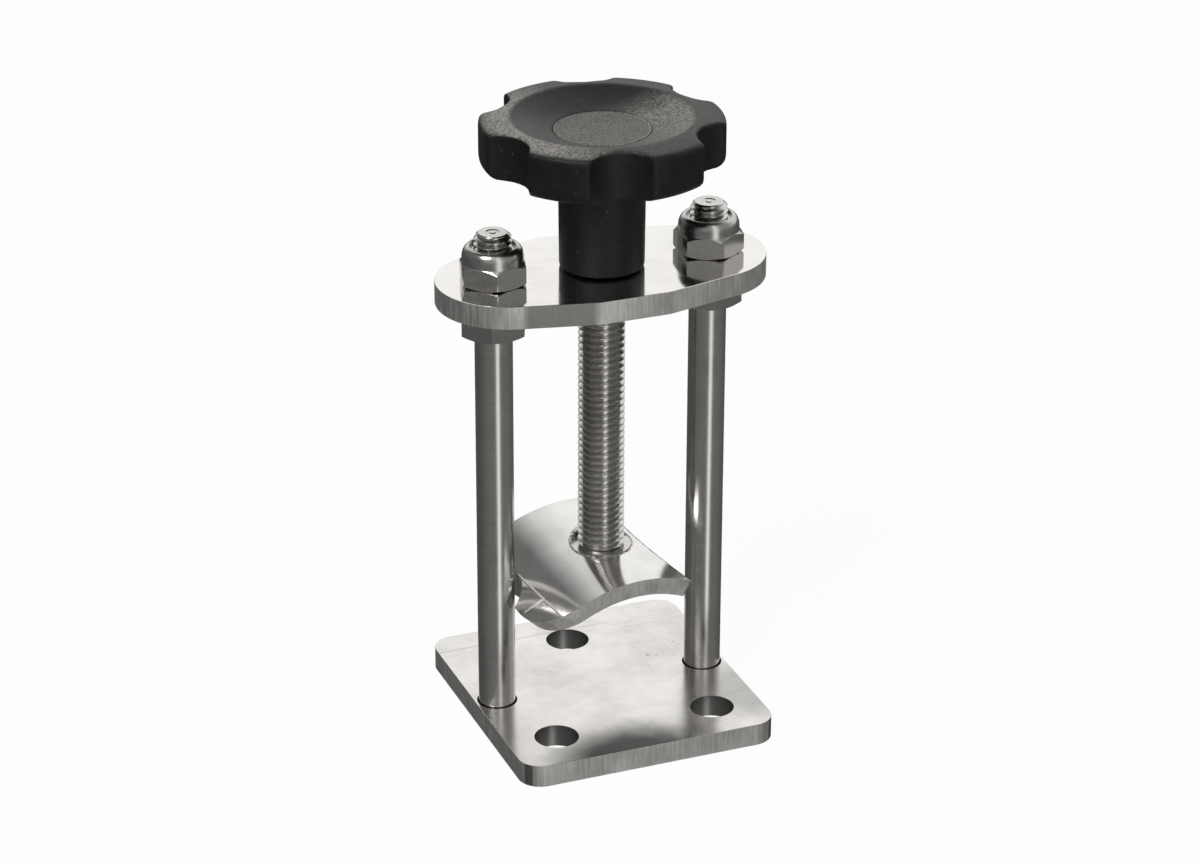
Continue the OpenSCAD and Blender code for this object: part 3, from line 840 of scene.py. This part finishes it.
# %% [markdown]
# ## The saddle
# A thick strip was cut out flat, its upper rim was rounded, and then it was rolled to a curve. It is made in
# the same order here: a flat blank with its hollow side sawn out, a bevel along that side's upper rim, the
# two tips cut round by a few planes, and Blender's Simple Deform bend at the end. Before the bend the blank
# is cut into narrow strips, because a face can only bend where it has edges. The seat for the ball and the
# notch for the left post are cut last, when the saddle hangs in its place.

# %% Flat blank of the saddle
SADDLE_R, SADDLE_T, SADDLE_L = 30.15 * MM, 4 * MM, 34 * MM
SADDLE_LEFT, SADDLE_FRONT, SADDLE_BACK = 24.6 * MM, 15.8 * MM, 10 * MM
HOLLOW_R, CORNER_R, TIP_R, ROUND_R = 60 * MM, 11 * MM, 1.5 * MM, 2.0 * MM
# The blank reaches past its hollow side, and the saw takes that off
far = 20 * MM
blank_size = (far + SADDLE_LEFT, SADDLE_L, SADDLE_T)
saddle = block("saddle_dressed", blank_size, ((far - SADDLE_LEFT) / 2, 0, -SADDLE_T / 2))


def upright_on_the_left(edge):
    return all(v.co.x < 0 for v in edge.verts) and abs(edge.verts[0].co.z - edge.verts[1].co.z) > MM


edit(saddle, "EDGE")
pick(saddle, "edges", upright_on_the_left)
bpy.ops.mesh.bevel(offset=CORNER_R, offset_type="OFFSET", segments=24, affect="EDGES")
done()
middle, lean = (SADDLE_FRONT + SADDLE_BACK) / 2, (SADDLE_FRONT - SADDLE_BACK) / 2
slant = math.atan2(lean, SADDLE_L / 2)
reach = math.sqrt(HOLLOW_R ** 2 - lean ** 2 - (SADDLE_L / 2) ** 2)
saw = rod(HOLLOW_R, -2 * SADDLE_T, SADDLE_T, 400)
saw_at = (middle + reach * math.cos(slant), reach * math.sin(slant))
cut(saddle, place(saw, "saw", (*saw_at, 0)))

# %% Rounded rim of the blank
edit(saddle, "EDGE")


def on_hollow(edge):
    """True for the edges of the hollow side's upper rim."""
    level = all(v.co.z > -0.001 * MM and v.co.x > 5 * MM for v in edge.verts)
    sides = [f for f in edge.link_faces if abs(f.normal.z) < 0.5 and f.normal.x > 0.5]
    return level and len(sides) == 1


count = pick(saddle, "edges", on_hollow)
bpy.ops.mesh.bevel(offset=ROUND_R, offset_type="OFFSET", segments=6, affect="EDGES", clamp_overlap=False)
done()
print("saddle blank:", count, "edges rounded,", measured(saddle))

# %% Rounded tips of the blank
# Each tip is cut by planes that touch a circle of the radius TIP_R, at these angles
edit(saddle, "FACE")
for end, angles in ((-1, (8, 24, 40, 56, 74)), (1, (15, 35, 55, 75))):
    y = end * (SADDLE_L / 2 - TIP_R)
    x = saw_at[0] - math.sqrt((HOLLOW_R + TIP_R) ** 2 - (y - saw_at[1]) ** 2)
    for angle in angles:
        out = Vector((math.cos(math.radians(angle)), end * math.sin(math.radians(angle)), 0))
        bpy.ops.mesh.select_all(action="SELECT")
        bpy.ops.mesh.bisect(
            plane_co=Vector((x, y, 0)) + out * TIP_R, plane_no=out, threshold=ON_PLANE,
            use_fill=True, clear_outer=True
        )
done()
# Blender holds this bevel back near the tips' short edges, so the cut edges stay nearly sharp
break_edges(saddle, 0.25 * MM, 40)
print("saddle blank with round tips:", measured(saddle))

# %% Rolling the saddle
edges_sawn(saddle, SATIN, SADDLE_EDGE)
edit(saddle)
strips = 84
for n in range(1, strips):
    bpy.ops.mesh.select_all(action="SELECT")
    x = -SADDLE_LEFT + n * (SADDLE_FRONT + SADDLE_LEFT) / strips
    bpy.ops.mesh.bisect(plane_co=(x, 0, 0), plane_no=(1, 0, 0), threshold=ON_PLANE)
done()
# The bend works about the piece's own Z, so the blank is stood on its side for it
saddle.rotation_euler = (-math.pi / 2, 0, 0)
place(saddle, "saddle_dressed")
span = max(v.co.x for v in saddle.data.vertices) - min(v.co.x for v in saddle.data.vertices)
modify(saddle, "SIMPLE_DEFORM", deform_method="BEND", deform_axis="Z", angle=-span / SADDLE_R)
saddle.rotation_euler = (math.pi / 2, 0, 0)
place(saddle, "saddle_dressed")

# %% Seat and notch of the saddle
BALL_R, WASHER_RELIEF_R, NOTCH_R = 6.65 * MM, 6.3 * MM, POST_R + 1.6 * MM
SADDLE_TURN, SADDLE_TILT = math.radians(6), math.radians(8)
saddle.matrix_world = (
    Matrix.Translation((0, 0, PIVOT_Z)) @ Matrix.Rotation(SADDLE_TURN, 4, "Z")
    @ Matrix.Rotation(SADDLE_TILT, 4, "X") @ Matrix.Translation((-0.3 * MM, 0, SADDLE_T / 2))
)
place(saddle, "saddle_dressed")
half_turn = [math.radians(a) for a in range(0, 181, 4)]
seat = lathe([(BALL_R * math.sin(a), -BALL_R * math.cos(a)) for a in half_turn], 96, 0.7)
cut(saddle, place(seat, "seat", (0, 0, PIVOT_Z)))
# Room for the washer under the bush when the saddle tilts, and then the notch round the left post
drill(saddle, 0, 0, WASHER_RELIEF_R, PIVOT_Z - 8 * MM, PIVOT_Z - 2.2 * MM, 100)
drill(saddle, -POST_X, 0, NOTCH_R, 0, 80 * MM, 128)
settle(saddle, 28)
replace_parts(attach(saddle, "saddle"), "saddle")
print("saddle:", measured(saddle), "box", [round(v / MM, 2) for v in saddle.dimensions])

# %% [markdown]
# ## The star knob
# The knob is moulded, so its head has no sharp edge. The head is turned, and the scallops and pockets are cut
# out of it. A voxel remesh then gives it an even net, and smoothing that net rounds each edge a little, as
# the mould does. The hub is turned and joined on after that, so it keeps its crisper edges.

# %% Head of the knob
KNOB_R, HUB_R = 25.5 * MM, 9.15 * MM
HUB_Z, HEAD_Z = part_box("knob_body")[0].z, RIM_Z - 10.6 * MM
DISH_R, DISH_DEPTH, CAP_R, CAP_T = 19.4 * MM, 3 * MM, 10.2 * MM, 2 * MM
SCALLOP_R, SCALLOP_X = 7.9 * MM, 29.0 * MM
KNOB_TURN = math.radians(17.5)
low_round, high_round, crown = 2.4 * MM, 1.1 * MM, 0.6 * MM
arc = [math.radians(a) for a in range(0, 91, 15)]
outline = [(0, HEAD_Z)]
outline += [
    (KNOB_R - low_round * (1 - math.sin(a)), HEAD_Z + low_round * (1 - math.cos(a))) for a in arc
]
outline += [
    (KNOB_R - high_round * (1 - math.cos(a)), RIM_Z - crown - high_round * (1 - math.sin(a))) for a in arc
]
# The dish is part of a ball that passes through its rim and through the edge of the cap's recess
rise = (DISH_R ** 2 - CAP_R ** 2 - DISH_DEPTH ** 2) / (2 * DISH_DEPTH)
ball = math.hypot(DISH_R, rise)
dish_steps = 12
for n in range(dish_steps + 1):
    r = DISH_R + (CAP_R - DISH_R) * n / dish_steps
    outline.append((r, RIM_Z + rise - math.sqrt(ball ** 2 - r ** 2)))
outline += [(CAP_R, RIM_Z - DISH_DEPTH - CAP_T), (0, RIM_Z - DISH_DEPTH - CAP_T)]
knob = lathe(outline, 144)

# %% Scallops and pockets
LOBES = 6
for n in range(LOBES):
    turn = KNOB_TURN + n * math.pi / 3
    tool = rod(SCALLOP_R, HEAD_Z - MM, RIM_Z + MM)
    cut(knob, place(tool, "scallop", (SCALLOP_X * math.cos(turn), SCALLOP_X * math.sin(turn), 0)))
# One round pocket, out of which three long bars leave six ribs
POCKET_IN, POCKET_OUT, POCKET_TOP = HUB_R + 1.6 * MM, 17.7 * MM, HEAD_Z + 5 * MM
RIB_T = 1.8 * MM
pocket = lathe([
    (POCKET_IN, HEAD_Z - MM), (POCKET_OUT, HEAD_Z - MM), (POCKET_OUT, POCKET_TOP),
    (POCKET_IN, POCKET_TOP), (POCKET_IN, HEAD_Z - MM),
], 96, 0.7)
for n in range(LOBES // 2):
    turn = KNOB_TURN + (n + 0.5) * math.pi / 3
    cut(pocket, block("rib", (2 * KNOB_R, RIB_T, 20 * MM), (0, 0, HEAD_Z), turn))
cut(knob, pocket)

# %% Moulded edges of the knob
modify(knob, "REMESH", mode="VOXEL", voxel_size=0.34 * MM)
modify(knob, "SMOOTH", factor=0.5, iterations=9)

# %% Hub of the knob
hub = lathe([
    (0, HUB_Z), (HUB_R - 0.9 * MM, HUB_Z), (HUB_R - 0.5 * MM, HUB_Z + 0.15 * MM),
    (HUB_R - 0.25 * MM, HUB_Z + 0.4 * MM), (HUB_R - 0.2 * MM, HUB_Z + 0.8 * MM),
    (HUB_R, HEAD_Z), (HUB_R, HEAD_Z + 5.5 * MM), (0, HEAD_Z + 5.5 * MM),
])
cut(knob, hub, "UNION")
# The bore is wide for the insert, and narrower above it for the spindle's end
INSERT_R, INSERT_TOP, END_BORE_R, END_BORE_TOP = 6.78 * MM, HUB_Z + 14.02 * MM, 5.02 * MM, HEAD_Z + 3.2 * MM
bore = lathe([
    (0, HUB_Z - MM), (INSERT_R, HUB_Z - MM), (INSERT_R, INSERT_TOP),
    (END_BORE_R, INSERT_TOP), (END_BORE_R, END_BORE_TOP), (0, END_BORE_TOP),
])
cut(knob, bore)
settle(knob, 35)
place(knob, "knob_dressed")
dress(knob, BLACK)
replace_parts(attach(knob, "spindle"), "knob_body")
print("knob:", measured(knob), "box", [round(v / MM, 2) for v in knob.dimensions])

# %% Cap of the knob
cap = rod(CAP_R - 0.02 * MM, RIM_Z - DISH_DEPTH - CAP_T, RIM_Z - DISH_DEPTH, 128)
break_edges(cap, 0.12 * MM, 30, 3)
settle(cap)
place(cap, "cap_dressed")
dress(cap, BLACK)
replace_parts(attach(cap, "spindle"), "knob_cap")
print("cap:", measured(cap))

# %% [markdown]
# ## Light and floor
# Polished steel has hardly any colour of its own: it shows the room. The real room had a white backdrop
# behind and above the object, a grey table round it and one tall window in front. A flat picture of such a
# room would be a file, so the world works it out from the direction that a reflection looks in. The camera
# itself only sees white, and the white floor takes the object's shadow.

# %% World
# Which way the window and the middle of the backdrop lie, and how bright the window and the plain light are
WINDOW, BACK = math.radians(-87), math.radians(68)
WINDOW_LEVEL, PLAIN_LEVEL = 1.4, 0.55


def gate(tree):
    """1 for rays of the camera, of gloss and of glass, 0 for plain light."""
    paths = tree.nodes.new("ShaderNodeLightPath")
    seen = [Wire(tree, paths.outputs[f"Is {kind} Ray"]) for kind in ("Camera", "Glossy", "Transmission")]
    return seen[0], (seen[0] + seen[1] + seen[2]).clamp()


def room(tree):
    """Brightness of the room in the direction that a ray looks in."""
    direction = tree.nodes.new("ShaderNodeTexCoord")
    split = tree.nodes.new("ShaderNodeSeparateXYZ")
    tree.links.new(direction.outputs["Generated"], split.inputs[0])
    x, y, z = (Wire(tree, out) for out in split.outputs)
    level = (x * x + y * y) ** 0.5 + 0.001
    front = (x * math.cos(WINDOW) + y * math.sin(WINDOW)) / level
    left = (y * math.cos(BACK) - x * math.sin(BACK)) / level
    table = front.between(-0.6, 0.6, 0.10, 0.20)
    backdrop = 1.12 - front.between(-0.1, 0.5) * 0.75
    backdrop = backdrop * left.between(0.42, 0.74, 1.0, 0.16) * z.between(0.72, 0.92, 1.0, 0.12)
    window = front.between(0.975, 0.996) * z.between(0.75, 0.95, 1.0, 0.0)
    above = z.between(-0.02, 0.16)
    return table + above * (backdrop - table), window


world = bpy.data.worlds.new("studio")
bpy.context.scene.world = world
world.use_nodes = True
sky = world.node_tree
sky.nodes.clear()
camera_ray, clear_ray = gate(sky)
around, window = room(sky)
mirrored = around + window * (WINDOW_LEVEL - around)
strength = clear_ray * (camera_ray + (1 - camera_ray) * mirrored) + (1 - clear_ray) * PLAIN_LEVEL
glow = sky.nodes.new("ShaderNodeBackground")
glow.inputs[0].default_value = (1.0, 0.995, 0.985, 1)
sky.links.new(strength.socket, glow.inputs[1])
output = sky.nodes.new("ShaderNodeOutputWorld")
sky.links.new(glow.outputs[0], output.inputs[0])

# %% Floor
# The floor lies a hair below the object. The camera sees its plain white at WHITE_SHARE, and its paint, which
# takes the shadow, at the rest.
FLOOR_SIZE, FLOOR_DROP, WHITE_SHARE = 6, 0.02 * MM, 0.95


def floor_material():
    material = bpy.data.materials.new("white floor")
    material.use_nodes = True
    tree = material.node_tree
    tree.nodes.clear()
    paint = tree.nodes.new("ShaderNodeBsdfDiffuse")
    paint.inputs[0].default_value = (0.85, 0.85, 0.85, 1)
    white = tree.nodes.new("ShaderNodeEmission")
    white.inputs[1].default_value = 1.0
    mixed = tree.nodes.new("ShaderNodeMixShader")
    output = tree.nodes.new("ShaderNodeOutputMaterial")
    seen = gate(tree)[1] * WHITE_SHARE
    tree.links.new(seen.socket, mixed.inputs[0])
    tree.links.new(paint.outputs[0], mixed.inputs[1])
    tree.links.new(white.outputs[0], mixed.inputs[2])
    tree.links.new(mixed.outputs[0], output.inputs[0])
    return material


bpy.ops.mesh.primitive_plane_add(size=FLOOR_SIZE, location=(0, 0, -FLOOR_DROP))
floor = bpy.context.object
floor.name = "floor"
floor.data.materials.append(floor_material())
floor.visible_glossy = False

# %% Lamps
MIDDLE = Vector((0, 0, 0.07))


def lamp(name, at, size, power):
    """A soft lamp of that size in metres and power in watts, aimed at the middle of the object."""
    data = bpy.data.lights.new(name, "AREA")
    data.shape = "RECTANGLE"
    data.size, data.size_y = size
    data.energy = power
    made = bpy.data.objects.new(name, data)
    bpy.context.scene.collection.objects.link(made)
    made.location = at
    made.rotation_euler = (MIDDLE - Vector(at)).to_track_quat("-Z", "Y").to_euler()


lamp("key", (-0.7, -0.5, 1.1), (0.5, 0.5), 9)

# %% Remaining CAD pieces
for node, finish in {
    "post_weld_left": WELD, "post_weld_right": WELD, "nylon_ring_left": NYLON, "nylon_ring_right": NYLON,
    "knob_insert": BRASS, "swivel_bush": TURNED, "thrust_washer": TURNED, "retaining_ring": DARK,
}.items():
    dress(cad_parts[node], finish)
